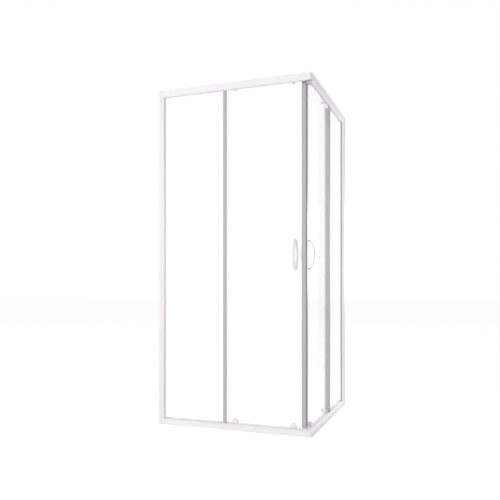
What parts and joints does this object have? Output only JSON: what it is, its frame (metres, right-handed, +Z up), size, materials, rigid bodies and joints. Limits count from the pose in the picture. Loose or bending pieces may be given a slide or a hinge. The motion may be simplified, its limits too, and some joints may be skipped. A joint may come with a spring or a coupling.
{
  "type": "corner shower enclosure",
  "caption": "Corner-entry shower enclosure: clear fixed panes, sliding glass doors on rollers that meet at the corner, white frame, bow handles and grey seals.",
  "frame": {"origin": "middle of the footprint on the floor", "axes": "+Z up; the front side faces -Y, the other glazed side faces +X; they meet at +X -Y"},
  "size_m": [0.9, 0.9, 1.9],
  "materials": {
    "white_aluminium": "white powder coat",
    "white_plastic": "moulded, satin",
    "clear_glass": "clear toughened glass",
    "grey_seal": "soft translucent strip",
    "wheel_nylon": "turned nylon",
    "steel": "plain stainless",
    "spring_steel": "drawn wire",
    "magnet": "bonded ferrite strip",
    "stop_rubber": "matt"
  },
  "bodies": {
    "frame": {"bottom_corner_joint": "white_plastic", "door_stops": "stop_rubber", "fixed_seals": "grey_seal", "frame_screws": "steel", "front_bottom_rail": "white_aluminium", "front_fixed_glass": "clear_glass", "front_top_rail": "white_aluminium", "front_upright": "white_aluminium", "front_wall_profile": "white_aluminium", "glazing_gaskets": "grey_seal", "groove_fillers": "white_plastic", "profile_end_caps": "white_plastic", "side_bottom_rail": "white_aluminium", "side_fixed_glass": "clear_glass", "side_top_rail": "white_aluminium", "side_upright": "white_aluminium", "side_wall_profile": "white_aluminium", "top_corner_joint": "white_plastic"},
    "front_door": {"front_door_glass": "clear_glass", "front_door_seal": "grey_seal", "front_handle_studs": "steel", "front_inner_handle": "white_plastic", "front_lead_bottom_housing": "white_plastic", "front_lead_release_springs": "spring_steel", "front_lead_top_housing": "white_plastic", "front_magnet_seal": "grey_seal", "front_outer_handle": "white_plastic", "front_roller_cap_screws": "white_plastic", "front_seal_magnet": "magnet", "front_top_axles": "steel", "front_trail_bottom_housing": "white_plastic", "front_trail_release_springs": "spring_steel", "front_trail_top_housing": "white_plastic"},
    "side_door": {"side_door_glass": "clear_glass", "side_door_seal": "grey_seal", "side_handle_studs": "steel", "side_inner_handle": "white_plastic", "side_lead_bottom_housing": "white_plastic", "side_lead_release_springs": "spring_steel", "side_lead_top_housing": "white_plastic", "side_magnet_seal": "grey_seal", "side_outer_handle": "white_plastic", "side_roller_cap_screws": "white_plastic", "side_seal_magnet": "magnet", "side_top_axles": "steel", "side_trail_bottom_housing": "white_plastic", "side_trail_release_springs": "spring_steel", "side_trail_top_housing": "white_plastic"},
    "front_lead_bottom_wheel": {"front_lead_bottom_wheel": "wheel_nylon"},
    "front_lead_release_carriage": {"front_lead_release_carriage": "white_plastic"},
    "front_lead_top_wheel": {"front_lead_top_wheel": "wheel_nylon"},
    "front_trail_bottom_wheel": {"front_trail_bottom_wheel": "wheel_nylon"},
    "front_trail_release_carriage": {"front_trail_release_carriage": "white_plastic"},
    "front_trail_top_wheel": {"front_trail_top_wheel": "wheel_nylon"},
    "side_lead_bottom_wheel": {"side_lead_bottom_wheel": "wheel_nylon"},
    "side_lead_release_carriage": {"side_lead_release_carriage": "white_plastic"},
    "side_lead_top_wheel": {"side_lead_top_wheel": "wheel_nylon"},
    "side_trail_bottom_wheel": {"side_trail_bottom_wheel": "wheel_nylon"},
    "side_trail_release_carriage": {"side_trail_release_carriage": "white_plastic"},
    "side_trail_top_wheel": {"side_trail_top_wheel": "wheel_nylon"}
  },
  "joints": [
    {"name": "front_door_slide", "type": "slide", "parent": "frame", "child": "front_door", "axis": [-1, 0, 0], "range_m": [0, 0.345]},
    {"name": "front_lead_top_wheel_spin", "type": "hinge", "parent": "front_door", "child": "front_lead_top_wheel", "pos_m": [0.34, -0.4215, 1.8813], "axis": [0, -1, 0], "continuous": true},
    {"name": "front_lead_release", "type": "slide", "parent": "front_door", "child": "front_lead_release_carriage", "axis": [0, 0, 1], "range_m": [0, 0.0035], "stiffness_N_per_m": 500, "springref_m": -0.004, "deforming": ["front_lead_release_springs"]},
    {"name": "front_lead_bottom_wheel_spin", "type": "hinge", "parent": "front_lead_release_carriage", "child": "front_lead_bottom_wheel", "pos_m": [0.34, -0.4176, 0.0433], "axis": [0, -1, 0], "continuous": true},
    {"name": "front_trail_top_wheel_spin", "type": "hinge", "parent": "front_door", "child": "front_trail_top_wheel", "pos_m": [0.007, -0.4215, 1.8813], "axis": [0, -1, 0], "continuous": true},
    {"name": "front_trail_release", "type": "slide", "parent": "front_door", "child": "front_trail_release_carriage", "axis": [0, 0, 1], "range_m": [0, 0.0035], "stiffness_N_per_m": 500, "springref_m": -0.004, "deforming": ["front_trail_release_springs"]},
    {"name": "front_trail_bottom_wheel_spin", "type": "hinge", "parent": "front_trail_release_carriage", "child": "front_trail_bottom_wheel", "pos_m": [0.007, -0.4176, 0.0433], "axis": [0, -1, 0], "continuous": true},
    {"name": "side_door_slide", "type": "slide", "parent": "frame", "child": "side_door", "axis": [0, 1, 0], "range_m": [0, 0.345]},
    {"name": "side_lead_top_wheel_spin", "type": "hinge", "parent": "side_door", "child": "side_lead_top_wheel", "pos_m": [0.4215, -0.34, 1.8813], "axis": [-1, 0, 0], "continuous": true},
    {"name": "side_lead_release", "type": "slide", "parent": "side_door", "child": "side_lead_release_carriage", "axis": [0, 0, 1], "range_m": [0, 0.0035], "stiffness_N_per_m": 500, "springref_m": -0.004, "deforming": ["side_lead_release_springs"]},
    {"name": "side_lead_bottom_wheel_spin", "type": "hinge", "parent": "side_lead_release_carriage", "child": "side_lead_bottom_wheel", "pos_m": [0.4176, -0.34, 0.0433], "axis": [-1, 0, 0], "continuous": true},
    {"name": "side_trail_top_wheel_spin", "type": "hinge", "parent": "side_door", "child": "side_trail_top_wheel", "pos_m": [0.4215, -0.007, 1.8813], "axis": [-1, 0, 0], "continuous": true},
    {"name": "side_trail_release", "type": "slide", "parent": "side_door", "child": "side_trail_release_carriage", "axis": [0, 0, 1], "range_m": [0, 0.0035], "stiffness_N_per_m": 500, "springref_m": -0.004, "deforming": ["side_trail_release_springs"]},
    {"name": "side_trail_bottom_wheel_spin", "type": "hinge", "parent": "side_trail_release_carriage", "child": "side_trail_bottom_wheel", "pos_m": [0.4176, -0.007, 0.0433], "axis": [-1, 0, 0], "continuous": true}
  ],
  "couplings": [
    {"joint": "front_lead_top_wheel_spin", "follows": "front_door_slide", "rad_per_m": 125},
    {"joint": "front_lead_bottom_wheel_spin", "follows": "front_door_slide", "rad_per_m": 181.82},
    {"joint": "front_trail_top_wheel_spin", "follows": "front_door_slide", "rad_per_m": 125},
    {"joint": "front_trail_bottom_wheel_spin", "follows": "front_door_slide", "rad_per_m": 181.82},
    {"joint": "side_lead_top_wheel_spin", "follows": "side_door_slide", "rad_per_m": 125},
    {"joint": "side_lead_bottom_wheel_spin", "follows": "side_door_slide", "rad_per_m": 181.82},
    {"joint": "side_trail_top_wheel_spin", "follows": "side_door_slide", "rad_per_m": 125},
    {"joint": "side_trail_bottom_wheel_spin", "follows": "side_door_slide", "rad_per_m": 181.82}
  ]
}
